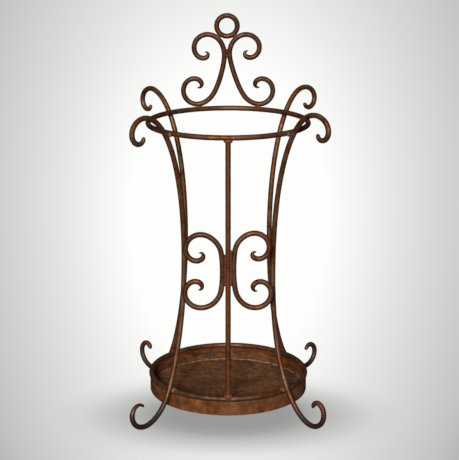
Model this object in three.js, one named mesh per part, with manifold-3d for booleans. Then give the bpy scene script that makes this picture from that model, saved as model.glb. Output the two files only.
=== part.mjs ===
// Umbrella stand of welded round bar: two hoops held by four scrolled legs, a drip pan hung
// in the lower hoop, a front bar with two C scrolls, and a crest of two scrolls and a ring.
// Millimetres, +Z up. The front of the stand faces -Y and the crest stands at the back.
import * as THREE from "three";
import { mergeVertices } from "three/addons/utils/BufferGeometryUtils.js";
import Module from "manifold-3d";

const wasm = await Module();
wasm.setup();

// ---------------------------------------------------------------- driving dimensions
const ROD = 10; // diameter of the bar stock that every round member is bent from
const HOOP_RADIUS = 152.5; // centreline radius of both hoops
const PAN_HOOP_Z = 56; // height of the lower hoop's centreline
const TOP_HOOP_Z = 559; // height of the upper hoop's centreline
const PAN_DEPTH = 33; // from the lower hoop's centreline to the underside of the pan
const BAND = 3; // thickness of the pan's wall
const BAND_OUTER = 155.2; // outer radius of the pan's wall
const PAN_FLOOR = 2.5; // thickness of the pan's floor
const FOOT_FLAT = 1; // depth that wear has ground off the underside of each foot
const FINIAL_RADIUS = 20.3; // centreline radius of the ring on top of the crest
const FINIAL_OFFSET = -2.4; // how far the ring stands left of the stand's axis
const FINIAL_RISE = 166.1; // from the upper hoop's centreline to the ring's centre
const SPINE_OFFSET = 10.4; // from the front bar's axis to the back of each C scroll
const CLEAR = 0.3; // gap kept between pieces that touch

const SIDES = 8; // flats round a bar's section
const HOOP_STEPS = 40; // flats round a hoop
const BEND_STEP = 22.5; // most degrees of bend between two sections of a bar
const LONG_STEP = 40; // most distance between two sections of a bar
const FINIAL_STEPS = 24; // flats round the ring on top of the crest
const SAMPLES = 3000; // points at which a bar's line is searched
const WELD = { width: 10, height: 6 }; // sections of a weld blob round and from pole to pole
const NOSE = [0, 0.15, 0.5, 1]; // sections of a rounded end, as shares of its radius

const ROD_RADIUS = ROD / 2;
const rad = THREE.MathUtils.degToRad;

// ---------------------------------------------------------------- finishes
const finish = (color, roughness, metalness) =>
  new THREE.MeshStandardMaterial({ color, roughness, metalness });
const rustyBar = finish(0x5a3427, 0.75, 0.35); // brown rust patina on the bars
const rustyPan = finish(0x7c4022, 0.85, 0.2); // brighter rust inside and outside the pan
const weldMetal = finish(0x7d5548, 0.7, 0.4); // paler weld beads

// ---------------------------------------------------------------- bent bars
// A bar is bent in one plane, as on a scroll form. From its start it runs in two branches, one
// along its heading and one against it. Each branch is a chain of bends: radii[i] and
// radii[i + 1] are the bend radii at the start and end of a bend that turns by turns[i]
// degrees, and between them the radius changes by the same ratio for each degree.
class Branch {
  constructor(start, heading, side, radii, turns) {
    this.bends = [];
    this.length = 0;
    let { x, y } = start;
    turns.forEach((degrees, i) => {
      const turn = rad(degrees);
      const shrink = Math.log(radii[i] / radii[i + 1]) / turn;
      const bend = { x, y, heading, side, shrink, radius: radii[i], begin: this.length };
      const end = Branch.along(bend, turn);
      this.bends.push({ ...bend, turn, length: end.travel });
      this.length += end.travel;
      x = end.x;
      y = end.y;
      heading += side * turn;
    });
  }

  // The point and the heading after a bend has turned by the angle a.
  static along(bend, a) {
    const { shrink, side, radius } = bend;
    const size = Math.exp(-shrink * a);
    const travel = Math.abs(shrink) < 1e-9 ? radius * a : (radius * (1 - size)) / shrink;
    const over = radius / (1 + shrink * shrink);
    // the integral of size * (cos, sin)(side * a), in the bend's own axes
    const forward = over * (size * (Math.sin(a) - shrink * Math.cos(a)) + shrink);
    const across = side * over * (1 - size * (Math.cos(a) + shrink * Math.sin(a)));
    const c = Math.cos(bend.heading);
    const s = Math.sin(bend.heading);
    return {
      x: bend.x + c * forward - s * across,
      y: bend.y + s * forward + c * across,
      heading: bend.heading + side * a,
      travel,
    };
  }

  // The point at a distance s along the branch.
  at(s) {
    const bend = this.bends.findLast(({ begin }) => begin <= s);
    const rest = s - bend.begin;
    const left = 1 - (bend.shrink * rest) / bend.radius;
    const a = Math.abs(bend.shrink) < 1e-9 ? rest / bend.radius : -Math.log(left) / bend.shrink;
    return Branch.along(bend, Math.min(a, bend.turn));
  }

  // Distances along the branch at which a section is needed: in each bend, halfway between
  // steps of even length, which suit its slack end, and steps of even turn, which suit its
  // tight end.
  stops() {
    return this.bends.flatMap((bend) => {
      const { begin, turn, length } = bend;
      const count = Math.ceil(Math.max(turn / rad(BEND_STEP), length / LONG_STEP) - 1e-6);
      const step = (_, i) => {
        const share = (i + 1) / count;
        return begin + (length * share + Branch.along(bend, turn * share).travel) / 2;
      };
      return Array.from({ length: count }, step);
    });
  }
}

// Both branches as one line, from -before.length to +after.length.
class Bar {
  constructor({ start, heading, turning, before, after }) {
    const [x, y] = start;
    const from = { x, y };
    const way = rad(heading);
    this.after = new Branch(from, way, turning, after.radii, after.turns);
    this.before = new Branch(from, way + Math.PI, -turning, before.radii, before.turns);
  }

  at(s) {
    if (s >= 0) return this.after.at(s);
    const p = this.before.at(-s);
    return { ...p, heading: p.heading + Math.PI };
  }

  stops() {
    const back = this.before.stops().map((s) => -s);
    return [...back.reverse(), 0, ...this.after.stops()];
  }

  // Points spread evenly along the whole line.
  samples(count = SAMPLES) {
    const start = -this.before.length;
    const step = (this.after.length - start) / count;
    return Array.from({ length: count }, (_, i) => this.at(start + (i + 0.5) * step));
  }

  // The point of the line that is nearest to (x, y).
  nearest(x, y) {
    const away = (p) => Math.hypot(p.x - x, p.y - y);
    return this.samples().reduce((best, p) => (away(p) < away(best) ? p : best));
  }
}

// A bar's radius falls from full size to tip.radius over the last tip.taper of its length, and
// its end is rounded like a nose.
function barRadius(fromEnd, tip) {
  const drawn = THREE.MathUtils.smoothstep(fromEnd, 0, tip.taper);
  const body = tip.radius + (ROD_RADIUS - tip.radius) * drawn;
  if (fromEnd >= tip.radius) return body;
  const inset = tip.radius - fromEnd;
  return Math.sqrt(Math.max(tip.radius ** 2 - inset ** 2, 0));
}

// A straight bar is turned as a lathe form whose length is the distance along the bar, and
// each of its sections is then carried to its place on the bent line. grow thickens it.
function barGeometry(bar, beforeTip, afterTip, grow = 0) {
  const start = -bar.before.length;
  const end = bar.after.length;
  const inner = bar.stops().filter((s) => s > start + ROD_RADIUS && s < end - ROD_RADIUS);
  const places = [
    ...NOSE.map((n) => start + n * beforeTip.radius),
    ...inner,
    ...NOSE.map((n) => end - n * afterTip.radius).reverse(),
  ];
  const size = (s, i) => {
    if (i === 0 || i === places.length - 1) return 0;
    return Math.min(barRadius(s - start, beforeTip), barRadius(end - s, afterTip)) + grow;
  };
  const profile = places.map((s, i) => new THREE.Vector2(size(s, i), s));
  const geometry = new THREE.LatheGeometry(profile, SIDES, Math.PI / SIDES);
  const position = geometry.getAttribute("position");
  for (let i = 0; i < position.count; i += 1) {
    const across = position.getX(i);
    const out = position.getZ(i);
    const p = bar.at(places[i % places.length]);
    const x = p.x - Math.sin(p.heading) * across;
    const z = p.y + Math.cos(p.heading) * across;
    position.setXYZ(i, x, out, z);
  }
  return geometry;
}

// ---------------------------------------------------------------- solids
function solid(geometry) {
  const bare = geometry.index ? geometry.toNonIndexed() : geometry.clone();
  bare.deleteAttribute("normal");
  bare.deleteAttribute("uv");
  const merged = mergeVertices(bare, 1e-4);
  const vertProperties = merged.getAttribute("position").array;
  const triVerts = new Uint32Array(merged.index.array);
  return new wasm.Manifold(new wasm.Mesh({ numProp: 3, vertProperties, triVerts }));
}

function geometryOf(manifold) {
  const { vertProperties, triVerts } = manifold.getMesh();
  const geometry = new THREE.BufferGeometry();
  geometry.setAttribute("position", new THREE.BufferAttribute(vertProperties, 3));
  geometry.setIndex(new THREE.BufferAttribute(triVerts, 1));
  geometry.computeVertexNormals();
  return geometry;
}

const stand = new THREE.Group();
const thick = {}; // each bar and hoop grown by CLEAR, which a weld is cut back from

function add(name, geometry, material) {
  const mesh = new THREE.Mesh(geometry, material);
  mesh.name = name;
  stand.add(mesh);
  return mesh;
}

// Adds a round member and keeps its thickened copy. make(grow) gives its geometry in place.
function addMember(name, make) {
  add(name, make(0), rustyBar);
  thick[name] = solid(make(CLEAR));
}

// ---------------------------------------------------------------- hoops and front bar
const hoop = (z) => (grow) =>
  new THREE.TorusGeometry(HOOP_RADIUS, ROD_RADIUS + grow, SIDES, HOOP_STEPS).translate(0, 0, z);
addMember("top_hoop", hoop(TOP_HOOP_Z));
addMember("pan_hoop", hoop(PAN_HOOP_Z));

const barLength = TOP_HOOP_Z - PAN_HOOP_Z - ROD - 2 * CLEAR;
const frontBar = (grow) =>
  new THREE.CylinderGeometry(ROD_RADIUS + grow, ROD_RADIUS + grow, barLength + 2 * grow, SIDES)
    .rotateX(Math.PI / 2)
    .translate(0, -HOOP_RADIUS, (TOP_HOOP_Z + PAN_HOOP_Z) / 2);
addMember("front_bar", frontBar);

// ---------------------------------------------------------------- legs
// Each leg starts at its waist, where it runs straight up. Upwards it leans out past the upper
// hoop and curls over and down; downwards it sweeps out under the pan and curls up and in.
// The azimuth is counted from +X, and lean tips the leg's plane sideways.
const UP_TURNS = [30, 30, 30, 90, 90, 90];
const DOWN_TURNS = [15, 15, 30, 30, 90, 90];
const LEGS = {
  front_left: {
    azimuth: 225.5,
    lean: -0.2,
    up: { radii: [1000, 150, 51, 35, 22.5, 14.5, 5.5, 4.5], end: 40 },
    down: { radii: [1000, 650, 100, 69, 36, 24, 13, 22], end: 50 },
    upTip: { taper: 25, radius: 4 },
    downTip: { taper: 45, radius: 2.6 },
  },
  front_right: {
    azimuth: 316,
    lean: 0.8,
    up: { radii: [1150, 160, 40, 40, 20.5, 12.5, 5, 4.5], end: 45 },
    down: { radii: [1150, 380, 200, 61, 27, 29, 11, 8.5], end: 110 },
    upTip: { taper: 25, radius: 4 },
    downTip: { taper: 20, radius: 3.8 },
  },
  back_left: {
    azimuth: 135.5,
    lean: 0,
    up: { radii: [1050, 150, 55, 27, 24, 10.5, 5, 4.5], end: 40 },
    down: { radii: [1050, 600, 130, 36, 45, 26, 11, 9.5], end: 95 },
    upTip: { taper: 25, radius: 4 },
    downTip: { taper: 12, radius: 4.2 },
  },
  back_right: {
    azimuth: 46,
    lean: 0,
    up: { radii: [1050, 170, 45, 43, 18, 16, 8, 5], end: 5 },
    down: { radii: [1050, 500, 130, 87, 37, 21, 14, 8.5], end: 85 },
    upTip: { taper: 25, radius: 4 },
    downTip: { taper: 20, radius: 3.8 },
  },
};
const REACH = ROD + CLEAR; // between the centrelines of two bars that touch
const MID_Z = (TOP_HOOP_Z + PAN_HOOP_Z) / 2;

// A leg's line with its lowest point one ground-down bar radius above the floor, and its waist
// as far out as it must be for the leg to bear on the hoops from outside.
function legBar({ up, down }) {
  const shape = {
    heading: -90,
    turning: 1,
    before: { radii: up.radii, turns: [...UP_TURNS, up.end] },
    after: { radii: down.radii, turns: [...DOWN_TURNS, down.end] },
  };
  const low = Math.min(...new Bar({ ...shape, start: [0, 0] }).samples().map((p) => p.y));
  const waistZ = ROD_RADIUS - FOOT_FLAT - low;
  const bearing = (p) => {
    const rise = Math.min(Math.abs(p.y - TOP_HOOP_Z), Math.abs(p.y - PAN_HOOP_Z));
    return rise < REACH ? HOOP_RADIUS + Math.sqrt(REACH ** 2 - rise ** 2) - p.x : 0;
  };
  const line = new Bar({ ...shape, start: [0, waistZ] });
  const waistRadius = Math.max(...line.samples().map(bearing));
  return new Bar({ ...shape, start: [waistRadius, waistZ] });
}

// Carries a leg, or a weld on it, from the plane of its azimuth 0 to its place.
const standAt = ({ azimuth, lean }) => (geometry) =>
  geometry
    .translate(0, 0, -MID_Z)
    .rotateX(rad(-lean))
    .translate(0, 0, MID_Z)
    .rotateZ(rad(azimuth));

const GROUND = { width: 900, depth: 40 }; // block under the floor that the feet are cut with
const groundBlock = new THREE.BoxGeometry(GROUND.width, GROUND.width, GROUND.depth);
const ground = solid(groundBlock.translate(0, 0, -GROUND.depth / 2));
for (const [place, leg] of Object.entries(LEGS)) {
  leg.bar = legBar(leg);
  leg.stand = standAt(leg);
  const shape = (grow) => leg.stand(barGeometry(leg.bar, leg.upTip, leg.downTip, grow));
  add(`leg_${place}`, geometryOf(solid(shape(0)).subtract(ground)), rustyBar);
  thick[`leg_${place}`] = solid(shape(CLEAR));
}

// ---------------------------------------------------------------- C scrolls on the front bar
// Each scroll starts on its spine beside the bar, heading up, and both ends curl away from it.
const SCROLL_TURNS = [15, 30, 45, 90, 90, 90];
const SCROLLS = {
  left: {
    side: -1,
    start: 252,
    top: { radii: [390, 38, 48, 28, 27, 17, 7, 4.5], end: 90 },
    foot: { radii: [390, 43, 41, 32, 27, 16, 8, 4.5], end: 80 },
  },
  right: {
    side: 1,
    start: 256.5,
    top: { radii: [400, 37, 43, 28, 26, 17, 5, 6.5], end: 80 },
    foot: { radii: [400, 52, 38, 32, 26, 17.5, 8.5, 6.5], end: 80 },
  },
};
const DRAWN_TIP = { taper: 24, radius: 1.9 }; // the scroll ends are drawn out thin

for (const [place, { side, start, top, foot }] of Object.entries(SCROLLS)) {
  const bar = new Bar({
    start: [side * SPINE_OFFSET, PAN_HOOP_Z + start],
    heading: 90,
    turning: -side,
    before: { radii: foot.radii, turns: [...SCROLL_TURNS, foot.end] },
    after: { radii: top.radii, turns: [...SCROLL_TURNS, top.end] },
  });
  addMember(`c_scroll_${place}`, (grow) =>
    barGeometry(bar, DRAWN_TIP, DRAWN_TIP, grow).translate(0, -HOOP_RADIUS, 0),
  );
}

// ---------------------------------------------------------------- crest
// Two more C scrolls stand back to back in one upright plane, on a chord of the upper hoop.
const CREST_TOP_TURNS = [12, 30, 60, 90, 90, 90];
const CREST_FOOT_TURNS = [18, 60, 90, 90, 90];
const CREST_Y = 140.4; // the chord's distance behind the stand's axis
const CREST = {
  left: {
    side: -1,
    start: -13.6,
    heading: 75,
    top: { radii: [300, 68, 39, 27, 26, 14.5, 5.5, 4], end: 80 },
    foot: { radii: [300, 54, 27, 27, 19, 8, 5.5], end: 85 },
  },
  right: {
    side: 1,
    start: 11.1,
    heading: 108,
    top: { radii: [380, 49, 39, 28, 24, 16.5, 5.5, 6], end: 75 },
    foot: { radii: [380, 49, 27, 27, 18, 7, 7], end: 80 },
  },
};

for (const [place, scroll] of Object.entries(CREST)) {
  const { side, start, heading, top, foot } = scroll;
  const shape = {
    heading,
    turning: -side,
    before: { radii: foot.radii, turns: [...CREST_FOOT_TURNS, foot.end] },
    after: { radii: top.radii, turns: [...CREST_TOP_TURNS, top.end] },
  };
  const low = Math.min(...new Bar({ ...shape, start: [start, 0] }).samples().map((p) => p.y));
  scroll.bar = new Bar({ ...shape, start: [start, TOP_HOOP_Z + REACH - low] });
  addMember(`crest_scroll_${place}`, (grow) =>
    barGeometry(scroll.bar, DRAWN_TIP, DRAWN_TIP, grow).translate(0, CREST_Y, 0),
  );
}

const FINIAL_Z = TOP_HOOP_Z + FINIAL_RISE;
addMember("finial_ring", (grow) =>
  new THREE.TorusGeometry(FINIAL_RADIUS, ROD_RADIUS + grow, SIDES, FINIAL_STEPS)
    .rotateX(Math.PI / 2)
    .translate(FINIAL_OFFSET, CREST_Y, FINIAL_Z),
);

// ---------------------------------------------------------------- drip pan
const panBottom = PAN_HOOP_Z - PAN_DEPTH;
const bandTop = PAN_HOOP_Z - ROD_RADIUS - CLEAR;
const bandInner = BAND_OUTER - BAND;
const floorTop = panBottom + PAN_FLOOR;
const SEAM = 2.8; // leg length of the fillet that seals the floor to the wall
const LEDGE = 0.6; // how far the fillet has sunk into the floor's edge

// A ring or disc turned about the stand's axis from corners [radius, height] in a loop.
function turned(corners) {
  const profile = corners.map(([r, z]) => new THREE.Vector2(r, z));
  return new THREE.LatheGeometry(profile, HOOP_STEPS).rotateX(Math.PI / 2);
}
const seamOuter = bandInner - CLEAR;
const seamInner = seamOuter - SEAM;
const ledgeZ = floorTop - LEDGE;
const seamZ = ledgeZ + CLEAR;
add(
  "pan_band",
  turned([
    [bandInner, panBottom],
    [BAND_OUTER, panBottom],
    [BAND_OUTER, bandTop],
    [bandInner, bandTop],
    [bandInner, panBottom],
  ]),
  rustyPan,
);
add(
  "pan_floor",
  turned([
    [0, panBottom],
    [seamOuter, panBottom],
    [seamOuter, ledgeZ],
    [seamInner - CLEAR, ledgeZ],
    [seamInner - CLEAR, floorTop],
    [0, floorTop],
  ]),
  rustyPan,
);
add(
  "pan_floor_seam",
  turned([
    [seamInner, seamZ],
    [seamOuter, seamZ],
    [seamOuter, seamZ + SEAM],
    [seamInner, seamZ],
  ]),
  weldMetal,
);

const RIM_BEAD = 1.7; // radius of the bead under the lower hoop, inside the wall
const RIM_SIDES = 6;
const rimBead = new THREE.TorusGeometry(seamOuter - RIM_BEAD, RIM_BEAD, RIM_SIDES, HOOP_STEPS);
add(
  "pan_rim_weld",
  rimBead.translate(0, 0, PAN_HOOP_Z - ROD_RADIUS - RIM_BEAD),
  weldMetal,
);

// ---------------------------------------------------------------- welds
// A weld is a blob with half sizes [x, y, z], cut back from the pieces that it joins.
// place carries the blob from the origin to the joint.
const LEG_WELD = [6, 8, 8];
const BAR_TOP_WELD = [8, 7, 5.5];
const BAR_FOOT_WELD = [9, 7.5, 6.5];
const SCROLL_WELD = { left: [4, 2.6, 31], right: [4, 2.6, 35] };
const CREST_WELD = [4, 4, 9];
const CREST_FOOT_WELD = [8, 7, 6];
const FINIAL_WELD = [6, 4.5, 5];

function weld(name, halves, place, joined) {
  const blob = new THREE.SphereGeometry(1, WELD.width, WELD.height).rotateX(Math.PI / 2);
  const placed = solid(place(blob.scale(...halves)));
  const cut = joined.reduce((left, piece) => left.subtract(thick[piece]), placed);
  add(name, geometryOf(cut), weldMetal);
}
const at = (x, y, z) => (geometry) => geometry.translate(x, y, z);

// Where a leg bears on each hoop, halfway between the two centrelines.
for (const [place, { bar, stand: carry }] of Object.entries(LEGS)) {
  for (const [hoopName, z] of [["top_hoop", TOP_HOOP_Z], ["pan_hoop", PAN_HOOP_Z]]) {
    const p = bar.nearest(HOOP_RADIUS, z);
    const joint = at((p.x + HOOP_RADIUS) / 2, 0, (p.y + z) / 2);
    const settle = (geometry) => carry(joint(geometry));
    weld(`weld_${hoopName}_${place}`, LEG_WELD, settle, [hoopName, `leg_${place}`]);
  }
}

const BAR_WELD_RISE = ROD_RADIUS + 1.5; // from a hoop's centreline to its weld's middle
const FOOT_WELD_SIDE = 0.8; // how far right of the bar the foot's weld has run
const barTop = at(0, -HOOP_RADIUS, TOP_HOOP_Z - BAR_WELD_RISE);
const barFoot = at(FOOT_WELD_SIDE, -HOOP_RADIUS, PAN_HOOP_Z + BAR_WELD_RISE);
weld("weld_bar_top", BAR_TOP_WELD, barTop, ["top_hoop", "front_bar"]);
weld("weld_bar_foot", BAR_FOOT_WELD, barFoot, ["pan_hoop", "front_bar"]);

// A long bead lies low in the groove between the front bar and each C scroll.
const BEAD_Y = -HOOP_RADIUS - 2.4;
const BEAD_RISE = 2.5; // from the middle of a C scroll's spine to the middle of its bead
for (const [place, { side, start }] of Object.entries(SCROLLS)) {
  const groove = at((side * SPINE_OFFSET) / 2, BEAD_Y, PAN_HOOP_Z + start + BEAD_RISE);
  const joined = ["front_bar", `c_scroll_${place}`];
  weld(`weld_c_scroll_${place}`, SCROLL_WELD[place], groove, joined);
}

// The crest: scroll to scroll, scrolls to hoop, scrolls to ring.
const CREST_TOUCH = { x: -2.5, front: 3.5, rise: 112 }; // front: ahead of the crest's plane
const touchZ = TOP_HOOP_Z + CREST_TOUCH.rise;
const crestTouch = at(CREST_TOUCH.x, CREST_Y - CREST_TOUCH.front, touchZ);
weld("weld_crest_centre", CREST_WELD, crestTouch, ["crest_scroll_left", "crest_scroll_right"]);

const FOOT_INSET = 4; // how far towards the middle a scroll's foot is welded from its lowest point
const FINIAL_WELD_Y = CREST_Y - 2.5;
const FAR_BELOW = -1e6; // the point of a scroll that is nearest to here is its lowest
for (const [place, { side, bar }] of Object.entries(CREST)) {
  const scroll = `crest_scroll_${place}`;
  const base = bar.nearest(bar.at(0).x, FAR_BELOW);
  const foot = at(base.x - side * FOOT_INSET, CREST_Y, TOP_HOOP_Z + REACH / 2);
  weld(`weld_crest_foot_${place}`, CREST_FOOT_WELD, foot, ["top_hoop", scroll]);
  const p = bar.nearest(FINIAL_OFFSET, FINIAL_Z);
  const away = Math.hypot(p.x - FINIAL_OFFSET, p.y - FINIAL_Z);
  const share = (FINIAL_RADIUS + ROD_RADIUS) / away;
  const x = FINIAL_OFFSET + (p.x - FINIAL_OFFSET) * share;
  const z = FINIAL_Z + (p.y - FINIAL_Z) * share;
  weld(`weld_finial_${place}`, FINIAL_WELD, at(x, FINIAL_WELD_Y, z), ["finial_ring", scroll]);
}

// The origin lies on the floor, under the middle of the stand's footprint.
const extent = new THREE.Box3().setFromObject(stand);
const middle = extent.getCenter(new THREE.Vector3());
stand.position.set(-middle.x, -middle.y, -extent.min.z);

export default stand;
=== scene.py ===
"""Rusty wrought-iron umbrella stand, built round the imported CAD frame. Blender 4.5, metres.

Bars follow lines of bends whose sizes are in millimetres, and are swept where those lines are
carried to, in metres. Every piece stands for one CAD node and rides on the only body, root.
"""
import math

import bpy
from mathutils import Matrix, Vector, noise


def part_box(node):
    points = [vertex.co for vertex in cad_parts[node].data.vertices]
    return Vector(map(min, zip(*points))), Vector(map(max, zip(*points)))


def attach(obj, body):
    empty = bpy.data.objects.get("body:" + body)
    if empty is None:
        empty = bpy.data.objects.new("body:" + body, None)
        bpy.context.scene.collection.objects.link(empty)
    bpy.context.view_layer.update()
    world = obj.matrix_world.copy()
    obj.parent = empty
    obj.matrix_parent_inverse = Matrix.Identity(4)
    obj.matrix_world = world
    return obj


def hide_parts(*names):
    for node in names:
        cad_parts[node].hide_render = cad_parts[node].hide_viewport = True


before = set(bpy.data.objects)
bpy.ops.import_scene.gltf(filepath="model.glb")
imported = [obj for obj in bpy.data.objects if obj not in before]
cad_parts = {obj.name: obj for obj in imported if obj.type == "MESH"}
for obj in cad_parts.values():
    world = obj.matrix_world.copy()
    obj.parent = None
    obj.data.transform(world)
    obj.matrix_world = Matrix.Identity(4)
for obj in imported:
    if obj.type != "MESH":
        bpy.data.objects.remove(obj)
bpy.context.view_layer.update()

MM = 0.001

# ------------------------------------------------------------------ sizes from the frame
low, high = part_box("top_hoop")
ROD = high.z - low.z  # diameter of the bar stock
ROD_R = ROD / 2
AXIS = Vector(((low.x + high.x) / 2, (low.y + high.y) / 2, 0))
HOOP_R = (high.x - low.x - ROD) / 2
TOP_Z = (low.z + high.z) / 2
low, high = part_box("pan_hoop")
PAN_Z = (low.z + high.z) / 2
low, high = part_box("pan_band")
BAND_OUTER = (high.x - low.x) / 2
BAND_BOTTOM = low.z
BAND_TOP = high.z
low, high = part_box("pan_floor")
FLOOR_R = (high.x - low.x) / 2
FLOOR_TOP = high.z
low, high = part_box("crest_scroll_left")
CREST_Y = (low.y + high.y) / 2 - AXIS.y  # the crest's plane, behind the axis
low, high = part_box("finial_ring")
FINIAL = (low + high) / 2
FINIAL_R = (high.z - low.z - ROD) / 2
CONTACT = 0.3 * MM  # gap that the CAD keeps between touching pieces
REACH = (ROD + CONTACT) / MM  # mm between the axes of two bars that touch
BAND_INNER = FLOOR_R + CONTACT
MID_Z = (TOP_Z + PAN_Z) / 2


# ------------------------------------------------------------------ bent bars
STRAIGHT = 1e-9  # a bend whose radius changes less than this for each radian is an arc
SAMPLES = 3000  # points at which a bar's line is searched


class Branch:
    """A chain of bends. Bend i turns by turns[i] degrees while its radius changes from
    radii[i] to radii[i + 1] mm by the same ratio for each degree."""

    def __init__(self, start, heading, side, radii, turns):
        self.bends = []
        self.length = 0.0
        x, y = start
        for first, last, degrees in zip(radii, radii[1:], turns):
            turn = math.radians(degrees)
            shrink = math.log(first / last) / turn
            bend = (x, y, heading, side, shrink, first, turn, self.length)
            x, y, heading, travel = self.along(bend, turn)
            self.bends.append(bend)
            self.length += travel

    @staticmethod
    def along(bend, a):
        """The point, heading and distance after a bend has turned by the angle a."""
        x, y, heading, side, shrink, radius = bend[:6]
        size = math.exp(-shrink * a)
        travel = radius * a if abs(shrink) < STRAIGHT else radius * (1 - size) / shrink
        over = radius / (1 + shrink * shrink)
        forward = over * (size * (math.sin(a) - shrink * math.cos(a)) + shrink)
        across = side * over * (1 - size * (math.cos(a) + shrink * math.sin(a)))
        c, s = math.cos(heading), math.sin(heading)
        return x + c * forward - s * across, y + s * forward + c * across, heading + side * a, travel

    def at(self, s):
        """The point and heading at the distance s from the start."""
        bend = [b for b in self.bends if b[-1] <= s][-1]
        shrink, radius, turn, begin = bend[4:]
        rest = s - begin
        if abs(shrink) < STRAIGHT:
            a = rest / radius
        else:
            a = -math.log(1 - shrink * rest / radius) / shrink
        return self.along(bend, min(a, turn))[:3]


class Bar:
    """Two branches as one line, in mm, from -before.length to +after.length."""

    def __init__(self, start, heading, turning, before, after):
        way = math.radians(heading)
        self.after = Branch(start, way, turning, *after)
        self.before = Branch(start, way + math.pi, -turning, *before)

    def at(self, s):
        if s >= 0:
            return self.after.at(s)
        x, y, heading = self.before.at(-s)
        return x, y, heading + math.pi

    def samples(self):
        start = -self.before.length
        step = (self.after.length - start) / SAMPLES
        return [self.at(start + (i + 0.5) * step) for i in range(SAMPLES)]

    def nearest(self, x, y):
        return min(self.samples(), key=lambda p: math.hypot(p[0] - x, p[1] - y))


# ------------------------------------------------------------------ meshes
SKIN_DEPTH = 0.16 * MM  # how much rust and the hammer have roughened a bar
SIDES = 20  # flats round a bar
STEP = 2.2  # mm between two sections of a bar
NOSE = (0.02, 0.15, 0.4, 0.7, 1.0)  # sections of a rounded tip, as shares of its radius
NOSE_ROOM = 1.3  # radii of a tip that its nose keeps to itself


def new_object(name, vertices, faces):
    mesh = bpy.data.meshes.new(name)
    mesh.from_pydata([tuple(v) for v in vertices], [], faces)
    mesh.update()
    return smooth_object(name, mesh)


def smooth_object(name, mesh):
    mesh.polygons.foreach_set("use_smooth", [True] * len(mesh.polygons))
    obj = bpy.data.objects.new(name, mesh)
    bpy.context.scene.collection.objects.link(obj)
    return obj


def pitted(point, normal):
    """A point of an iron surface moved in and out as rust and the hammer leave it."""
    swell = noise.noise(point * 38)
    grain = noise.fractal(point * 190, 0.9, 2.1, 3)
    pit = max(0.0, noise.noise(point * 330) - 0.22)
    return point + normal * SKIN_DEPTH * (0.25 + 0.55 * swell + 0.5 * grain - 2.2 * pit)


def sweep(name, rings, sides, closed=False):
    """A skin round a line. Each ring is (centre, across, out, radius)."""
    vertices = []
    for centre, across, out, radius in rings:
        for k in range(sides):
            a = 2 * math.pi * k / sides
            normal = across * math.cos(a) + out * math.sin(a)
            vertices.append(pitted(centre + normal * radius, normal))
    count = len(rings)
    spans = count if closed else count - 1
    faces = []
    for i in range(spans):
        j = (i + 1) % count
        for k in range(sides):
            m = (k + 1) % sides
            faces.append((i * sides + k, i * sides + m, j * sides + m, j * sides + k))
    if not closed:
        for ring, centre in ((0, rings[0][0]), (count - 1, rings[-1][0])):
            pole = len(vertices)
            vertices.append(centre)
            for k in range(sides):
                pair = (ring * sides + k, ring * sides + (k + 1) % sides)
                faces.append((*(pair[::-1] if ring == 0 else pair), pole))
    return new_object(name, vertices, faces)


def bar_radius(from_end, tip):
    """A bar's radius near an end: drawn down to tip[1] over tip[0], then rounded off. mm."""
    taper, radius = tip
    full = ROD_R / MM
    share = min(max(from_end / taper, 0), 1)
    body = radius + (full - radius) * share * share * (3 - 2 * share)
    if from_end >= radius:
        return body
    return math.sqrt(max(radius**2 - (radius - from_end) ** 2, 0))


def bar_rings(bar, before_tip, after_tip, carry):
    """Sections of a bent bar. carry takes a point (along x, sideways y, up z), in mm, of the
    bar's own plane to its place in metres."""
    start, end = -bar.before.length, bar.after.length
    first, last = start + NOSE_ROOM * before_tip[1], end - NOSE_ROOM * after_tip[1]
    count = round((end - start) / STEP)
    inner = [start + (end - start) * i / count for i in range(1, count)]
    places = [start + share * before_tip[1] for share in NOSE]
    places += [s for s in inner if first < s < last]
    places += [end - share * after_tip[1] for share in reversed(NOSE)]
    rings = []
    for s in places:
        x, y, heading = bar.at(s)
        centre = carry(Vector((x, 0, y)))
        across = carry(Vector((x - math.sin(heading), 0, y + math.cos(heading)))) - centre
        out = carry(Vector((x, 1, y))) - centre
        radius = min(bar_radius(s - start, before_tip), bar_radius(end - s, after_tip))
        rings.append((centre, across.normalized(), out.normalized(), radius * MM))
    return rings


def hoop_rings(centre, radius, standing, steps):
    """Sections of a closed ring, which lies flat or stands in the XZ plane."""
    rings = []
    for i in range(steps):
        a = 2 * math.pi * i / steps
        flat = Vector((math.cos(a), math.sin(a), 0))
        side = Vector((0, 0, 1))
        if standing:
            flat = Vector((math.cos(a), 0, math.sin(a)))
            side = Vector((0, -1, 0))
        rings.append((centre + flat * radius, flat, side, ROD_R))
    return rings


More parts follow.
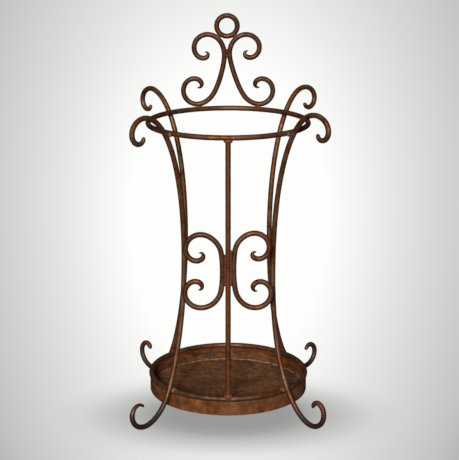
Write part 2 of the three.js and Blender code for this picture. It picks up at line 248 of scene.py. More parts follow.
# ------------------------------------------------------------------ node materials
class Nodes:
    """Short names for the nodes of one material, which all work in object coordinates."""

    def __init__(self, name):
        self.material = bpy.data.materials.new(name)
        self.material.use_nodes = True
        self.tree = self.material.node_tree
        self.shader = self.tree.nodes["Principled BSDF"]
        self.where = self.node("TexCoord").outputs["Object"]

    def node(self, kind):
        return self.tree.nodes.new(f"ShaderNode{kind}")

    def link(self, source, socket):
        self.tree.links.new(source, socket)

    def feed(self, socket, value):
        """Sets a socket to a number or a colour, or links another node's output to it."""
        if isinstance(value, (int, float)):
            socket.default_value = value
        elif isinstance(value, tuple):
            socket.default_value = (*value, 1)
        else:
            self.link(value, socket)

    def axes(self):
        """The x, y and z of a point."""
        node = self.node("SeparateXYZ")
        self.link(self.where, node.inputs[0])
        return node.outputs

    def from_axis(self):
        """How far a point is from the stand's axis."""
        node = self.node("VectorMath")
        node.operation = "MULTIPLY"
        self.link(self.where, node.inputs[0])
        node.inputs[1].default_value = (1, 1, 0)
        return self.distance(node.outputs["Vector"], AXIS)

    def distance(self, where, place):
        node = self.node("VectorMath")
        node.operation = "DISTANCE"
        self.link(where, node.inputs[0])
        node.inputs[1].default_value = place
        return node.outputs["Value"]

    def noise(self, scale, detail=4, roughness=0.55, stretch=None, distortion=0.0):
        node = self.node("TexNoise")
        node.inputs["Scale"].default_value = scale
        node.inputs["Detail"].default_value = detail
        node.inputs["Roughness"].default_value = roughness
        node.inputs["Distortion"].default_value = distortion
        where = self.where
        if stretch:
            mapping = self.node("Mapping")
            mapping.inputs["Scale"].default_value = stretch
            self.link(where, mapping.inputs["Vector"])
            where = mapping.outputs["Vector"]
        self.link(where, node.inputs["Vector"])
        return node.outputs["Fac"]

    def cells(self, scale):
        node = self.node("TexVoronoi")
        node.inputs["Scale"].default_value = scale
        self.link(self.where, node.inputs["Vector"])
        return node.outputs["Distance"]

    def ramp(self, fac, stops):
        """Stops are (place, colour or number)."""
        node = self.node("ValToRGB")
        elements = node.color_ramp.elements
        while len(elements) < len(stops):
            elements.new(0.5)
        for element, (place, colour) in zip(elements, stops):
            element.position = place
            value = colour if isinstance(colour, tuple) else (colour,) * 3
            element.color = (*value, 1)
        self.link(fac, node.inputs["Fac"])
        return node.outputs["Color"]

    def mix(self, fac, a, b, blend="MIX"):
        node = self.node("Mix")
        node.data_type = "RGBA"
        node.blend_type = blend
        for number, value in ((0, fac), (6, a), (7, b)):  # the sockets of a colour mix
            self.feed(node.inputs[number], value)
        return node.outputs[2]

    def times(self, colour, other):
        return self.mix(1.0, colour, other, "MULTIPLY")

    def math(self, operation, a, b=0.0):
        node = self.node("Math")
        node.operation = operation
        self.feed(node.inputs[0], a)
        self.feed(node.inputs[1], b)
        return node.outputs[0]

    def hypot(self, a, b):
        squares = self.math("ADD", self.math("MULTIPLY", a, a), self.math("MULTIPLY", b, b))
        return self.math("SQRT", squares)

    def bump(self, heights):
        """Stacks (height, strength, distance) as bumps, the last one finest."""
        normal = None
        for height, strength, distance in heights:
            node = self.node("Bump")
            node.inputs["Strength"].default_value = strength
            node.inputs["Distance"].default_value = distance
            self.link(height, node.inputs["Height"])
            if normal:
                self.link(normal, node.inputs["Normal"])
            normal = node.outputs["Normal"]
        self.link(normal, self.shader.inputs["Normal"])

    def finish(self, colour, roughness, metallic, specular):
        self.link(colour, self.shader.inputs["Base Color"])
        self.link(roughness, self.shader.inputs["Roughness"])
        self.shader.inputs["Metallic"].default_value = metallic
        self.shader.inputs["Specular IOR Level"].default_value = specular
        return self.material


# Rust, as linear colours. Each group is one surface, from its ground to what lies on it.
DARK_PATINA = (0.064, 0.020, 0.008)
PATINA = (0.165, 0.060, 0.023)
PALE_PATINA = (0.275, 0.114, 0.052)
DARK_BLOOM = (0.150, 0.040, 0.010)
BLOOM = (0.345, 0.115, 0.034)
# grey of iron wear, which also serves as a painted sheen
WORN_IRON_AND_SHEEN = (0.215, 0.130, 0.087)
FOOT_GREY = (0.068, 0.048, 0.037)

DARK_WALL = (0.085, 0.025, 0.006)
WALL = (0.215, 0.070, 0.019)
BRIGHT_WALL = (0.380, 0.140, 0.046)
WALL_STAIN = (0.150, 0.072, 0.038)
WATER_MARK = (0.055, 0.019, 0.006)
WEEP = (0.090, 0.033, 0.011)
PALE_LIP = (0.420, 0.190, 0.085)
BURN = (0.058, 0.042, 0.033)

DARK_FLOOR = (0.090, 0.034, 0.014)
FLOOR = (0.240, 0.098, 0.042)
PALE_FLOOR = (0.405, 0.180, 0.088)
FLOOR_STAIN = (0.085, 0.040, 0.020)
FLOOR_BLOOM = (0.330, 0.120, 0.035)
GRIT = (0.360, 0.210, 0.130)
CRUST = (0.052, 0.021, 0.009)
FLECK = (0.500, 0.340, 0.230)

BLOOM_EDGE = 0.16  # how much of the broad noise a rust bloom takes to reach its full share
GREY_EDGE = 0.05  # metres by which the grey of the feet wanders up and down
BURN_PLACE = AXIS + Vector((-0.036, BAND_INNER, BAND_TOP - 0.008))
BURN_EDGE = 0.022  # metres by which the burn's outline wanders
PER_CM = 100  # makes the 0 to 1 of a ramp 10 mm long
PER_DM = 10  # makes it 100 mm long


def bar_material(name, bloom_share, wear_and_sheen_share, bloom_start=0.44, tone=1.0):
    """Brown patina with orange rust blooms, greyer with wear and a painted sheen where hands and
    wax have been. The ends near the floor are darker and greyer, and tone darkens the whole."""
    n = Nodes(name)
    broad = n.noise(16, 3)
    medium = n.noise(85, 5, 0.6)
    fine = n.noise(520, 4, 0.65)
    patina = n.ramp(medium, [(0.30, DARK_PATINA), (0.50, PATINA), (0.70, PALE_PATINA)])
    bloom = n.ramp(broad, [(bloom_start, 0.0), (bloom_start + BLOOM_EDGE, bloom_share)])
    rust = n.ramp(fine, [(0.35, DARK_BLOOM), (0.65, BLOOM)])
    colour = n.mix(bloom, patina, rust)
    # grey patches, partly wear and partly a painted sheen
    wear_and_sheen = n.ramp(n.noise(30, 4, 0.6, distortion=0.4), [(0.48, 0.0), (0.64, wear_and_sheen_share)])
    colour = n.mix(wear_and_sheen, colour, WORN_IRON_AND_SHEEN)
    height = n.math("ADD", n.axes()["Z"], n.math("MULTIPLY", broad, GREY_EDGE))
    grey = n.ramp(height, [(0.045, 0.85), (0.088, 0.0)])
    colour = n.mix(grey, colour, FOOT_GREY)
    colour = n.times(colour, n.ramp(fine, [(0.30, 0.72), (0.48, 1.0)]))
    colour = n.times(colour, (tone, tone, tone))
    roughness = n.ramp(medium, [(0.3, 0.60), (0.7, 0.42)])
    n.bump([(n.noise(70, 3), 0.30, 0.0012), (fine, 0.2, 0.0003)])
    return n.finish(colour, roughness, metallic=0.6, specular=0.35)


def pan_wall_material():
    """Bright rust on the pan's wall, with darker weeps, a paler lower lip, and on the inside
    level water marks and one grey burn."""
    n = Nodes("rusty_pan_wall")
    medium = n.noise(60, 5, 0.6)
    fine = n.noise(420, 4, 0.7)
    colour = n.ramp(medium, [(0.28, DARK_WALL), (0.5, WALL), (0.74, BRIGHT_WALL)])
    stains = n.ramp(n.noise(11, 3), [(0.44, 0.0), (0.66, 0.5)])
    colour = n.mix(stains, colour, WALL_STAIN)
    inside = n.math("LESS_THAN", n.from_axis(), (BAND_INNER + BAND_OUTER) / 2)
    marks = n.ramp(n.noise(26, 5, 0.65, (1.0, 1.0, 8.0)), [(0.50, 0.0), (0.60, 0.80)])
    colour = n.mix(n.math("MULTIPLY", marks, inside), colour, WATER_MARK)
    weeps = n.ramp(n.noise(30, 4, 0.6, (1.0, 1.0, 0.45)), [(0.52, 0.0), (0.66, 0.35)])
    colour = n.mix(weeps, colour, WEEP)
    rise = n.math("MULTIPLY", n.math("SUBTRACT", n.axes()["Z"], BAND_BOTTOM), PER_CM)
    lip = n.ramp(rise, [(0.08, 0.35), (0.20, 0.0)])
    colour = n.mix(lip, colour, PALE_LIP)
    away = n.distance(n.where, BURN_PLACE)
    ragged = n.math("ADD", away, n.math("MULTIPLY", medium, BURN_EDGE))
    burn = n.ramp(n.math("MULTIPLY", ragged, PER_DM), [(0.16, 0.85), (0.30, 0.0)])
    colour = n.mix(burn, colour, BURN)
    colour = n.times(colour, n.ramp(fine, [(0.3, 0.55), (0.52, 1.0)]))
    roughness = n.ramp(fine, [(0.3, 0.88), (0.7, 0.66)])
    n.bump([(medium, 0.3, 0.0014), (fine, 0.45, 0.0004)])
    return n.finish(colour, roughness, metallic=0.05, specular=0.2)


def pan_floor_material():
    """Rust on the pan's floor, stained, crusted and speckled where ferrules have stood."""
    n = Nodes("rusty_pan_floor")
    medium = n.noise(75, 6, 0.65)
    fine = n.noise(500, 4, 0.7)
    colour = n.ramp(medium, [(0.30, DARK_FLOOR), (0.50, FLOOR), (0.70, PALE_FLOOR)])
    stains = n.ramp(n.noise(14, 4, 0.6), [(0.40, 0.55), (0.54, 0.0)])
    colour = n.mix(stains, colour, FLOOR_STAIN)
    bloom = n.ramp(n.noise(22, 3, 0.6, distortion=0.5), [(0.55, 0.0), (0.68, 0.6)])
    colour = n.mix(bloom, colour, FLOOR_BLOOM)
    grit = n.ramp(n.noise(330, 3, 0.6), [(0.55, 0.0), (0.67, 0.45)])
    colour = n.mix(grit, colour, GRIT)
    crust = n.ramp(n.noise(260, 3, 0.6), [(0.56, 0.0), (0.68, 0.6)])
    colour = n.mix(crust, colour, CRUST)
    flecks = n.ramp(n.cells(95), [(0.09, 1.0), (0.20, 0.0)])
    sparse = n.ramp(n.noise(55, 2), [(0.50, 0.0), (0.58, 1.0)])
    colour = n.mix(n.math("MULTIPLY", flecks, sparse), colour, FLECK)
    colour = n.times(colour, n.ramp(fine, [(0.32, 0.5), (0.5, 1.0)]))
    roughness = n.ramp(fine, [(0.3, 0.85), (0.7, 0.6)])
    n.bump([(medium, 0.15, 0.0012), (fine, 0.45, 0.0004)])
    return n.finish(colour, roughness, metallic=0.05, specular=0.2)


def weld_material(name, dark, light, scale=380):
    """Weld metal mottled from dark to light, finer as scale grows."""
    n = Nodes(name)
    fine = n.noise(scale, 4, 0.65)
    colour = n.ramp(fine, [(0.32, dark), (0.66, light)])
    roughness = n.ramp(fine, [(0.3, 0.7), (0.7, 0.48)])
    n.bump([(n.noise(240, 3), 0.5, 0.0008), (fine, 0.4, 0.0003)])
    return n.finish(colour, roughness, metallic=0.25, specular=0.45)


BAR = bar_material("rusty_bar", 0.45, 0.75)
BAR_ORANGE = bar_material("rusty_front_bar", 1.0, 0.35, 0.40)
BAR_SCROLL = bar_material("rusty_scroll", 0.45, 0.8, tone=0.88)
BAR_CREST = bar_material("rusty_crest", 0.4, 0.7, tone=0.72)
PAN_WALL = pan_wall_material()
PAN_FLOOR = pan_floor_material()
WELD = weld_material("weld_metal", (0.115, 0.036, 0.012), (0.290, 0.108, 0.044))
GROOVE_WELD = weld_material("groove_weld", (0.100, 0.027, 0.007), (0.260, 0.078, 0.019))
SEAM = weld_material("floor_seam", (0.060, 0.024, 0.009), (0.480, 0.310, 0.180), 75)


def piece(obj, node, material):
    """Gives a finished piece its material, and hands it to the frame for its CAD node."""
    obj.data.materials.clear()
    obj.data.materials.append(material)
    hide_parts(node)
    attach(obj, "root")


# ------------------------------------------------------------------ hoops, bar and ring
HOOP_STEPS = 420  # sections round a hoop
RING_STEPS, RING_SIDES = 90, 24  # sections round the ring on the crest, and its flats
UPRIGHT_STEPS = 224  # spans along the front bar

for node, z in (("top_hoop", TOP_Z), ("pan_hoop", PAN_Z)):
    rings = hoop_rings(AXIS + Vector((0, 0, z)), HOOP_R, False, HOOP_STEPS)
    piece(sweep(f"{node}_iron", rings, SIDES, closed=True), node, BAR)
rings = hoop_rings(FINIAL, FINIAL_R, True, RING_STEPS)
ring = sweep("finial_ring_iron", rings, RING_SIDES, closed=True)
piece(ring, "finial_ring", BAR_CREST)

bar_low, bar_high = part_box("front_bar")
rings = []
for i in range(UPRIGHT_STEPS + 1):
    z = bar_low.z + (bar_high.z - bar_low.z) * i / UPRIGHT_STEPS
    centre = AXIS + Vector((0, -HOOP_R, z))
    rings.append((centre, Vector((1, 0, 0)), Vector((0, 1, 0)), ROD_R))
piece(sweep("front_bar_iron", rings, SIDES), "front_bar", BAR_ORANGE)

# ------------------------------------------------------------------ legs
# From its waist a leg bends up to its curl and down to its foot. Each half is a list of bend
# radii in mm and the turn of its last bend in degrees, and the turns before it are the same
# for all legs. azimuth is where the leg stands and lean tips it sideways, both in degrees. Its
# tips, top and foot, are drawn down over the first number of mm to a radius of the second.
UP_TURNS = [30, 30, 30, 90, 90, 90]
DOWN_TURNS = [15, 15, 30, 30, 90, 90]
FOOT_FLAT = 1.0  # mm ground off the underside of each foot
LEGS = {
    "front_left": {
        "azimuth": 225.5,
        "lean": -0.2,
        "up": ([1000, 150, 51, 35, 22.5, 14.5, 5.5, 4.5], 40),
        "down": ([1000, 650, 100, 69, 36, 24, 13, 22], 50),
        "tips": ((25, 4), (45, 2.6)),
    },
    "front_right": {
        "azimuth": 316,
        "lean": 0.8,
        "up": ([1150, 160, 40, 40, 20.5, 12.5, 5, 4.5], 45),
        "down": ([1150, 380, 200, 61, 27, 29, 11, 8.5], 110),
        "tips": ((25, 4), (20, 3.8)),
    },
    "back_left": {
        "azimuth": 135.5,
        "lean": 0,
        "up": ([1050, 150, 55, 27, 24, 10.5, 5, 4.5], 40),
        "down": ([1050, 600, 130, 36, 45, 26, 11, 9.5], 95),
        "tips": ((25, 4), (12, 4.2)),
    },
    "back_right": {
        "azimuth": 46,
        "lean": 0,
        "up": ([1050, 170, 45, 43, 18, 16, 8, 5], 5),
        "down": ([1050, 500, 130, 87, 37, 21, 14, 8.5], 85),
        "tips": ((25, 4), (20, 3.8)),
    },
}


def leg_bar(up, down):
    """A leg's line, in mm, with its foot on the floor and its inner side against the hoops."""
    before = (up[0], UP_TURNS + [up[1]])
    after = (down[0], DOWN_TURNS + [down[1]])
    lowest = min(p[1] for p in Bar((0, 0), -90, 1, before, after).samples())
    waist_z = ROD_R / MM - FOOT_FLAT - lowest
    waist_radius = 0
    for x, y, _ in Bar((0, waist_z), -90, 1, before, after).samples():
        rise = min(abs(y - TOP_Z / MM), abs(y - PAN_Z / MM))
        if rise < REACH:
            waist_radius = max(waist_radius, HOOP_R / MM + math.sqrt(REACH**2 - rise**2) - x)
    return Bar((waist_radius, waist_z), -90, 1, before, after)


def leg_carrier(azimuth, lean):
    """Takes a point of a leg's plane, in mm, to its place in metres."""
    tip, turn = math.radians(lean), math.radians(azimuth)

    def carry(p):
        z = p.z - MID_Z / MM
        side = p.y * math.cos(tip) + z * math.sin(tip)
        z = z * math.cos(tip) - p.y * math.sin(tip)
        x = p.x * math.cos(turn) - side * math.sin(turn)
        y = p.x * math.sin(turn) + side * math.cos(turn)
        return Vector((x, y, z)) * MM + AXIS + Vector((0, 0, MID_Z))

    return carry


for place, leg in LEGS.items():
    leg["bar"] = leg_bar(leg["up"], leg["down"])
    leg["carry"] = leg_carrier(leg["azimuth"], leg["lean"])
    rings = bar_rings(leg["bar"], *leg["tips"], leg["carry"])
    obj = sweep(f"leg_{place}_iron", rings, SIDES)
    for vertex in obj.data.vertices:
        vertex.co.z = max(vertex.co.z, 0)
    piece(obj, f"leg_{place}", BAR)

# ------------------------------------------------------------------ scrolls
# Each scroll has a top and a foot half like a leg's. A C scroll starts at its back, at a height
# in mm above the lower hoop. A crest scroll starts at its distance in mm beside the axis, on a
# heading in degrees. The first number of each is its side.
SPINE_OFFSET = 10.4  # mm from the front bar's axis to the back of each C scroll
SCROLL_TURNS = [15, 30, 45, 90, 90, 90]
CREST_TOP_TURNS = [12, 30, 60, 90, 90, 90]
CREST_FOOT_TURNS = [18, 60, 90, 90, 90]
DRAWN_TIP = (18, 1.7)  # mm over which a scroll's end is drawn out, and its last radius
HOOK = (2.1, 15, 85)  # the hook at the tip: radius in mm, degrees to reach it, its degrees
SCROLLS = {
    "left": (
        (-1, 252),
        ([390, 38, 48, 28, 27, 17, 7, 4.5], 90),
        ([390, 43, 41, 32, 27, 16, 8, 4.5], 80),
    ),
    "right": (
        (1, 256.5),
        ([400, 37, 43, 28, 26, 17, 5, 6.5], 80),
        ([400, 52, 38, 32, 26, 17.5, 8.5, 6.5], 80),
    ),
}
CREST = {
    "left": (
        (-1, -13.6, 75),
        ([300, 68, 39, 27, 26, 14.5, 5.5, 4], 80),
        ([300, 54, 27, 27, 19, 8, 5.5], 85),
    ),
    "right": (
        (1, 11.1, 108),
        ([380, 49, 39, 28, 24, 16.5, 5.5, 6], 75),
        ([380, 49, 27, 27, 18, 7, 7], 80),
    ),
}


def hooked(end, turns):
    """The bends of a scroll's end. The last one gives up the degrees that lead into the hook."""
    radii, last = end
    radius, entry, curl = HOOK
    return radii + [radius, radius], turns + [last - entry, entry, curl]


def upright(y):
    """Carries a point of an upright plane that stands y metres behind the axis."""
    return lambda p: p * MM + AXIS + Vector((0, y, 0))


for place, ((side, rise), top, foot) in SCROLLS.items():
    before = hooked(foot, SCROLL_TURNS)
    after = hooked(top, SCROLL_TURNS)
    bar = Bar((side * SPINE_OFFSET, PAN_Z / MM + rise), 90, -side, before, after)
    rings = bar_rings(bar, DRAWN_TIP, DRAWN_TIP, upright(-HOOP_R))
    obj = sweep(f"c_scroll_{place}_iron", rings, SIDES)
    piece(obj, f"c_scroll_{place}", BAR_SCROLL)

for place, ((side, start, heading), top, foot) in CREST.items():
    before = hooked(foot, CREST_FOOT_TURNS)
    after = hooked(top, CREST_TOP_TURNS)
    lowest = min(p[1] for p in Bar((start, 0), heading, -side, before, after).samples())
    bar = Bar((start, TOP_Z / MM + REACH - lowest), heading, -side, before, after)
    rings = bar_rings(bar, DRAWN_TIP, DRAWN_TIP, upright(CREST_Y))
    obj = sweep(f"crest_scroll_{place}_iron", rings, SIDES)
    piece(obj, f"crest_scroll_{place}", BAR_CREST)


# ------------------------------------------------------------------ drip pan
TURNED_STEPS = 300  # sections round the band and its two beads
BAND_EDGE = 0.7 * MM  # size of the band's eased corners
BAND_ROWS = 8  # rows of faces up the band's sides
FLOOR_RINGS, FLOOR_STEPS = 34, 180
FLOOR_THICK = 2.5 * MM
FLOOR_PUCKER = 0.5 * MM  # broad unevenness of the floor
FLOOR_DIMPLE = 0.18 * MM  # and its finer one
FLOOR_SAG = 0.5 * MM
SEAM_KNEE = (0.62, 0.5)  # where the seam's face bulges: shares of its leg inwards and up
RIM_SIDES = 8  # flats round the bead under the hoop


def turned(name, profile, wobble):
    """A closed profile of (radius, z) turned about the axis, with wobble(a, z) added to r."""
    vertices, faces = [], []
    count = len(profile)
    for i in range(TURNED_STEPS):
        a = 2 * math.pi * i / TURNED_STEPS
        way = Vector((math.cos(a), math.sin(a), 0))
        for r, z in profile:
            vertices.append(AXIS + way * (r + wobble(a, z)) + Vector((0, 0, z)))
    for i in range(TURNED_STEPS):
        j = (i + 1) % TURNED_STEPS
        for k in range(count):
            m = (k + 1) % count
            faces.append((i * count + k, i * count + m, j * count + m, j * count + k)[::-1])
    return new_object(name, vertices, faces)


def rounded_loop(r0, r1, z0, z1, edge, rows):
    """A rectangle's outline with eased corners and rows of points up its two tall sides."""
    cut = edge * 0.3  # a corner's middle point stands this far in from both sides
    heights = [z0 + edge + (z1 - z0 - 2 * edge) * i / rows for i in range(rows + 1)]
    inner = [(r0, z) for z in reversed(heights)]
    bottom = [(r0 + cut, z0 + cut), (r0 + edge, z0), (r1 - edge, z0), (r1 - cut, z0 + cut)]
    outer = [(r1, z) for z in heights]
    top = [(r1 - cut, z1 - cut), (r1 - edge, z1), (r0 + edge, z1), (r0 + cut, z1 - cut)]
    return inner + bottom + outer + top


def band_wobble(a, z):
    point = Vector((math.cos(a), math.sin(a), z * 9))
    return 0.35 * MM * noise.noise(point * 3) + 0.12 * MM * noise.noise(point * 22)


profile = rounded_loop(BAND_INNER, BAND_OUTER, BAND_BOTTOM, BAND_TOP, BAND_EDGE, BAND_ROWS)
piece(turned("pan_band_iron", profile, band_wobble), "pan_band", PAN_WALL)


def floor_sheet():
    """A disc of sheet that has sagged and puckered a little between its seam and centre."""
    vertices, faces = [], []
    for base in (FLOOR_TOP, FLOOR_TOP - FLOOR_THICK):
        vertices.append(AXIS + Vector((0, 0, base)))
        for i in range(1, FLOOR_RINGS + 1):
            for j in range(FLOOR_STEPS):
                a = 2 * math.pi * j / FLOOR_STEPS
                share = i / FLOOR_RINGS
                point = AXIS + Vector((math.cos(a), math.sin(a), 0)) * FLOOR_R * share
                pucker = FLOOR_PUCKER * noise.noise(point * 14)
                pucker += FLOOR_DIMPLE * noise.noise(point * 60)
                point.z = base + pucker * (1 - share**6) - FLOOR_SAG * (1 - share**2)
                vertices.append(point)
    half = len(vertices) // 2

    def at(layer, i, j):
        place = 0 if i == 0 else 1 + (i - 1) * FLOOR_STEPS + j % FLOOR_STEPS
        return layer * half + place

    for layer in (0, 1):
        for i in range(FLOOR_RINGS):
            for j in range(FLOOR_STEPS):
                face = [at(layer, i, j), at(layer, i + 1, j), at(layer, i + 1, j + 1)]
                if i:
                    face.append(at(layer, i, j + 1))
                faces.append(face if layer == 0 else face[::-1])
    for j in range(FLOOR_STEPS):
        top, bottom = at(0, FLOOR_RINGS, j), at(1, FLOOR_RINGS, j)
        faces.append((top, bottom, at(1, FLOOR_RINGS, j + 1), at(0, FLOOR_RINGS, j + 1)))
    return new_object("pan_floor_iron", vertices, faces)


piece(floor_sheet(), "pan_floor", PAN_FLOOR)


def bead_wobble(a, z):
    point = Vector((math.cos(a), math.sin(a), z * 20))
    return 0.5 * MM * noise.noise(point * 26) + 0.3 * MM * noise.noise(point * 70)


low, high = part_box("pan_floor_seam")
seam_leg = high.z - low.z
profile = [
    (FLOOR_R - seam_leg, low.z),
    (FLOOR_R, low.z),
    (FLOOR_R, high.z),
    (FLOOR_R - seam_leg * SEAM_KNEE[0], low.z + seam_leg * SEAM_KNEE[1]),
]
piece(turned("pan_floor_seam_bead", profile, bead_wobble), "pan_floor_seam", SEAM)

low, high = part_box("pan_rim_weld")
bead_r = (high.z - low.z) / 2
bead_mid = (high.x - low.x) / 2 - bead_r
profile = []
for i in range(RIM_SIDES):
    a = 2 * math.pi * i / RIM_SIDES
    profile.append((bead_mid + bead_r * math.cos(a), (low.z + high.z) / 2 - bead_r * math.sin(a)))
rim = turned("pan_rim_weld_bead", profile, bead_wobble)
piece(rim, "pan_rim_weld", GROOVE_WELD)

# ------------------------------------------------------------------ welds
BALL_SHOWN = 0.575  # share of a metaball's radius at which its skin lies
BLOB_SCALE = 10  # times real size, to melt metaballs: Blender can't mesh them finer than 5 mm
BLOB_MESH = 0.7 * MM  # size of a bead's faces
BLOB_ROUGH = 0.35  # mm that its skin is moved in and out


def weld_blob(node, balls, material):
    """Weld metal: balls of (centre, radius) melted together, then roughened."""
    data = bpy.data.metaballs.new(node)
    data.resolution = BLOB_MESH * BLOB_SCALE
    for centre, radius in balls:
        ball = data.elements.new(type="BALL")
        ball.co = centre * BLOB_SCALE
        ball.radius = radius * BLOB_SCALE / BALL_SHOWN
    source = bpy.data.objects.new(node, data)
    bpy.context.scene.collection.objects.link(source)
    bpy.context.view_layer.update()
    melted = source.evaluated_get(bpy.context.evaluated_depsgraph_get())
    mesh = bpy.data.meshes.new_from_object(melted)
    bpy.data.objects.remove(source)
    bpy.data.metaballs.remove(data)
    for vertex in mesh.vertices:
        place = vertex.co / BLOB_SCALE
        vertex.co = place + vertex.normal * BLOB_ROUGH * MM * noise.noise(place * 420)
    piece(smooth_object(f"{node}_bead", mesh), node, material)


def lumps(centre, spread, radius, count, seed):
    """Balls scattered in a box of half sizes spread round centre, always the same."""
    noise.seed_set(seed)
    balls = [(centre, radius)]
    for _ in range(count):
        shift = Vector([half * (2 * noise.random() - 1) for half in spread])
        balls.append((centre + shift, radius * (0.55 + 0.4 * noise.random())))
    return balls


# Each leg's weld fills both corners of the joint with balls that get smaller outwards, and has
# run out along the hoop on the side nearer the middle of the front or back. A shift is in mm,
# outwards, sideways and up in the leg's own plane.
RUN_SIDE = {"front_left": 1, "front_right": -1, "back_left": -1, "back_right": 1}
RUN_RISE = {"top_hoop": 3.0, "pan_hoop": 3.2}  # mm above the joint's middle
for place, leg in LEGS.items():
    for hoop, z in (("top_hoop", TOP_Z), ("pan_hoop", PAN_Z)):
        node = f"weld_{hoop}_{place}"
        x, y, _ = leg["bar"].nearest(HOOP_R / MM, z / MM)
        joint = Vector(((x + HOOP_R / MM) / 2, 0, (y + z / MM) / 2))
        balls = []
        for side in (-1, 1):
            for step in range(3):
                shift = Vector((-0.2, side * (3.4 + 1.6 * step), 1.2 - 1.1 * step))
                balls.append((leg["carry"](joint + shift), (3.5 - 0.5 * step) * MM))
        for step in range(3):
            rise = RUN_RISE[hoop] - 0.4 * step
            shift = Vector((-2.0 - 0.9 * step, RUN_SIDE[place] * (6.2 + 1.7 * step), rise))
            balls.append((leg["carry"](joint + shift), (3.3 - 0.3 * step) * MM))
        weld_blob(node, balls, WELD)

# The front bar's two welds are collars of balls round it, against the hoops. The lower one has
# run forward over the hoop and to the right, and left spatter on the band.
COLLAR_BALLS = 9
COLLAR = (5.0, 4.4)  # mm, the collar's half width and half depth
SPATTER = ((0.3, -12, 1.7), (10.5, -14, 1.5))  # mm right of the bar, above the hoop, radius
RUN_SEED = 3
for node, z, way, width in (("weld_bar_top", TOP_Z, -1, 3.4), ("weld_bar_foot", PAN_Z, 1, 4.0)):
    balls = []
    for i in range(COLLAR_BALLS):
        a = 2 * math.pi * i / COLLAR_BALLS
        rise = way * (ROD_R + (0.8 + 0.9 * math.sin(i * 2.3)) * MM)
        right = COLLAR[0] * MM * math.cos(a)
        back = COLLAR[1] * MM * math.sin(a) - HOOP_R
        balls.append((AXIS + Vector((right, back, z + rise)), (width - 0.7 * (i % 2)) * MM))
    if node == "weld_bar_foot":
        run = Vector((5.5 * MM, -HOOP_R - 2.5 * MM, PAN_Z + 3.5 * MM))
        balls.append((AXIS + run, 3.0 * MM))
        for right, up, radius in SPATTER:
            drop = Vector((right * MM, -BAND_OUTER, PAN_Z + up * MM))
            balls.append((AXIS + drop, radius * MM))
        front = AXIS + Vector((1.5 * MM, -HOOP_R - 3.4 * MM, PAN_Z + 1.5 * MM))
        balls += lumps(front, Vector((5.5, 1.4, 3.8)) * MM, 2.5 * MM, 10, RUN_SEED)
    weld_blob(node, balls, WELD)

# A long bead lies in the groove between the front bar and each C scroll.
GROOVE = SPINE_OFFSET / 2 * MM
GROOVE_PITCH = 2.2 * MM  # between the balls along it
GROOVE_END = 2 * MM  # from the bead's end to its last ball
for side, node in ((-1, "weld_c_scroll_left"), (1, "weld_c_scroll_right")):
    low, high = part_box(node)
    count = round((high.z - low.z) / GROOVE_PITCH)
    balls = []
    for i in range(count + 1):
        z = low.z + GROOVE_END + (high.z - low.z - 2 * GROOVE_END) * i / count
        centre = AXIS + Vector((side * GROOVE, -HOOP_R - 2.6 * MM, z))
        balls.append((centre, (1.95 + 0.2 * math.sin(i * 1.9)) * MM))
    weld_blob(node, balls, GROOVE_WELD)

CREST_BALLS = 7  # in the bead between the two crest scrolls
CREST_END = 0.8  # of the balls' pitch, from the bead's end to its first ball
low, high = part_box("weld_crest_centre")
x = (low.x + high.x) / 2
pitch = (high.z - low.z) / (CREST_BALLS - 1 + 2 * CREST_END)
balls = []
for i in range(CREST_BALLS):
    centre = Vector((x, AXIS.y + CREST_Y - 1.6 * MM, low.z + pitch * (i + CREST_END)))
    balls.append((centre, 1.8 * MM))
weld_blob("weld_crest_centre", balls, GROOVE_WELD)

# The crest's other welds are lumps that fill most of their CAD boxes.
LUMP_SPREAD = (0.55, 0.55, 0.4)  # shares of the box's half sizes
LUMP_R = 3.4 * MM
LUMP_COUNT = 8
LUMP_SEED = 7
for number, place in enumerate(CREST):
    for node in (f"weld_crest_foot_{place}", f"weld_finial_{place}"):
        low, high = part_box(node)
        middle = (low + high) / 2
        middle.y = AXIS.y + CREST_Y
        half = (high - low) / 2
        spread = Vector([size * share for size, share in zip(half, LUMP_SPREAD)])
        balls = lumps(middle, spread, LUMP_R, LUMP_COUNT, LUMP_SEED + number)
        weld_blob(node, balls, WELD)

# ------------------------------------------------------------------ stage, light and camera
STAGE_R = 11.0  # radius of the round wall that the floor curves up into
STAGE_H = 6.0
STAGE_BEND = 3.0  # radius of the curve between them
STAGE_RINGS = (0.4, 1.0, 2.0, 4.0)  # radii of the flat floor's rings
STAGE_STEPS = 96
BEND_ROWS = 14
PAPER_TINT = (1.0, 1.0, 0.985)
PAPER_LIT = 0.05  # share of the paper's brightness that the lamps give; the rest is its own glow, which carries the painted pool of light and the painted shadow
PAPER_GLOW = 1.02
PAINTED_POOL_START = 2.72  # metres in front of the stand, where the painted pool of light would have no width
PAINTED_POOL_LEAST = 1.3  # its least half width
PAINTED_POOL_FALL = (0.72, 0.172)  # from front to back: the first over the half width, less the second
PAINTED_POOL_NEAR = 0.84  # share of that which counts nearer than the pool's brightest line
PAINTED_POOL_SCALE = 5.0  # spreads the painted pool of light, which ends at 0.2, over its ramp
PAINTED_SHADOW_HALF = (0.285, 0.20)  # half sizes of the painted shadow under the stand
PAINTED_SHADOW_Y = -0.09  # and its middle
PAINTED_SHADOW_SCALE = 0.5  # spreads twice those half sizes over its ramp


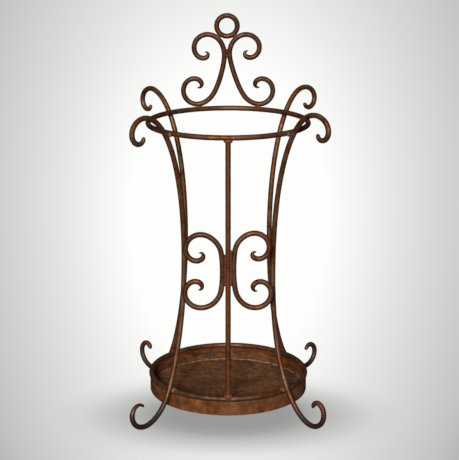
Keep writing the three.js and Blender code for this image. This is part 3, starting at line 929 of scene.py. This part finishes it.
def stage_material():
    """Pale paper with a painted pool of light that widens away from the front, painted greyer
    around it, and the painted wide soft shadow of an object that stands on it."""
    n = Nodes("paper")
    x, y, _ = n.axes()
    # the painted pool of light: x over a half width that grows with y, and a term that falls with y
    width = n.math("MAXIMUM", n.math("ADD", y, PAINTED_POOL_START), PAINTED_POOL_LEAST)
    across = n.math("DIVIDE", x, width)
    along = n.math("SUBTRACT", n.math("DIVIDE", PAINTED_POOL_FALL[0], width), PAINTED_POOL_FALL[1])
    along = n.math("MINIMUM", along, n.math("MULTIPLY", along, PAINTED_POOL_NEAR))
    painted_pool = n.ramp(n.math("MULTIPLY", n.hypot(across, along), PAINTED_POOL_SCALE), [
        (0.345, 1.0), (0.448, 0.92), (0.585, 0.80), (0.72, 0.70), (0.938, 0.555), (1.0, 0.485),
    ])
    # the painted shadow: an ellipse on the floor
    beside = n.math("DIVIDE", x, PAINTED_SHADOW_HALF[0])
    behind = n.math("DIVIDE", n.math("SUBTRACT", y, PAINTED_SHADOW_Y), PAINTED_SHADOW_HALF[1])
    painted_shadow = n.ramp(n.math("MULTIPLY", n.hypot(beside, behind), PAINTED_SHADOW_SCALE), [
        (0.12, 0.35), (0.20, 0.375), (0.26, 0.435), (0.32, 0.57), (0.40, 0.73), (0.50, 0.93),
        (0.60, 1.0),
    ])
    # the paper's colour: its tint times the painted pool of light and the painted shadow
    colour = n.times(n.times(painted_pool, painted_shadow), PAPER_TINT)
    n.shader.inputs["Roughness"].default_value = 1.0
    n.shader.inputs["Specular IOR Level"].default_value = 0.0
    n.link(colour, n.shader.inputs["Base Color"])
    # the paper glows with its painted pool of light and painted shadow, though it is no lamp
    glow = n.node("Emission")
    n.link(colour, glow.inputs["Color"])
    glow.inputs["Strength"].default_value = PAPER_GLOW
    both = n.node("MixShader")
    both.inputs[0].default_value = PAPER_LIT
    n.link(glow.outputs[0], both.inputs[1])
    n.link(n.shader.outputs[0], both.inputs[2])
    n.link(both.outputs[0], n.tree.nodes["Material Output"].inputs["Surface"])
    return n.material


def stage_bowl():
    """A floor that curves up into a round wall."""
    profile = [(r, 0.0) for r in STAGE_RINGS]
    for i in range(BEND_ROWS):
        a = math.pi / 2 * i / (BEND_ROWS - 1)
        inset = STAGE_BEND * (1 - math.sin(a))
        profile.append((STAGE_R - inset, STAGE_BEND * (1 - math.cos(a))))
    profile.append((STAGE_R, STAGE_H))
    vertices = [Vector((0, 0, 0))]
    for r, z in profile:
        for j in range(STAGE_STEPS):
            a = 2 * math.pi * j / STAGE_STEPS
            vertices.append(Vector((r * math.cos(a), r * math.sin(a), z)))
    faces = [(0, 1 + j, 1 + (j + 1) % STAGE_STEPS) for j in range(STAGE_STEPS)]
    for i in range(len(profile) - 1):
        row = 1 + i * STAGE_STEPS
        for j in range(STAGE_STEPS):
            a, b = row + j, row + (j + 1) % STAGE_STEPS
            faces.append((a, a + STAGE_STEPS, b + STAGE_STEPS, b))
    return new_object("stage", vertices, faces)


stage = stage_bowl()
stage.data.materials.append(stage_material())
stage.visible_diffuse = False  # the paper glows by itself, and mustn't light the object
stage.visible_glossy = False
stage.visible_shadow = False  # its wall stands between the low sun and the object


def sun(name, strength, spread, azimuth, elevation, colour):
    """A soft far light, spread degrees wide. azimuth is where it stands, from -Y towards +X."""
    data = bpy.data.lights.new(name, "SUN")
    data.energy = strength
    data.angle = math.radians(spread)
    data.color = colour
    obj = bpy.data.objects.new(name, data)
    a, e = math.radians(azimuth), math.radians(elevation)
    towards = Vector((math.sin(a) * math.cos(e), -math.cos(a) * math.cos(e), math.sin(e)))
    obj.rotation_euler = towards.to_track_quat("Z", "Y").to_euler()
    bpy.context.scene.collection.objects.link(obj)


WARM_WHITE = (1.0, 0.98, 0.96)
WHITE = (1.0, 1.0, 1.0)
sun("front", strength=2.6, spread=9, azimuth=-6, elevation=20, colour=WARM_WHITE)
sun("overhead", strength=0.38, spread=80, azimuth=0, elevation=70, colour=WHITE)

ROOM_LIGHT = 0.03
world = bpy.data.worlds.new("room")
bpy.context.scene.world = world
world.use_nodes = True
background = world.node_tree.nodes["Background"]
background.inputs["Color"].default_value = (*WHITE, 1)
background.inputs["Strength"].default_value = ROOM_LIGHT

CAMERA_BACK = 2.7236  # in front of the stand's axis
CAMERA_RISE = 1.0181  # above the lower hoop's centreline
CAMERA_SIDE = 0.0026  # right of the axis
CAMERA_TILT = 14.96  # degrees below level
LENS = 113.5
SENSOR = 36
SEEN_TO = 60  # metres, past the far side of the stage
camera_data = bpy.data.cameras.new("camera")
camera_data.lens = LENS
camera_data.sensor_width = SENSOR
camera_data.clip_end = SEEN_TO
camera = bpy.data.objects.new("camera", camera_data)
camera.location = AXIS + Vector((CAMERA_SIDE, -CAMERA_BACK, PAN_Z + CAMERA_RISE))
camera.rotation_euler = (math.radians(90 - CAMERA_TILT), 0, 0)
bpy.context.scene.collection.objects.link(camera)
bpy.context.scene.camera = camera
bpy.context.scene.view_settings.view_transform = "Standard"
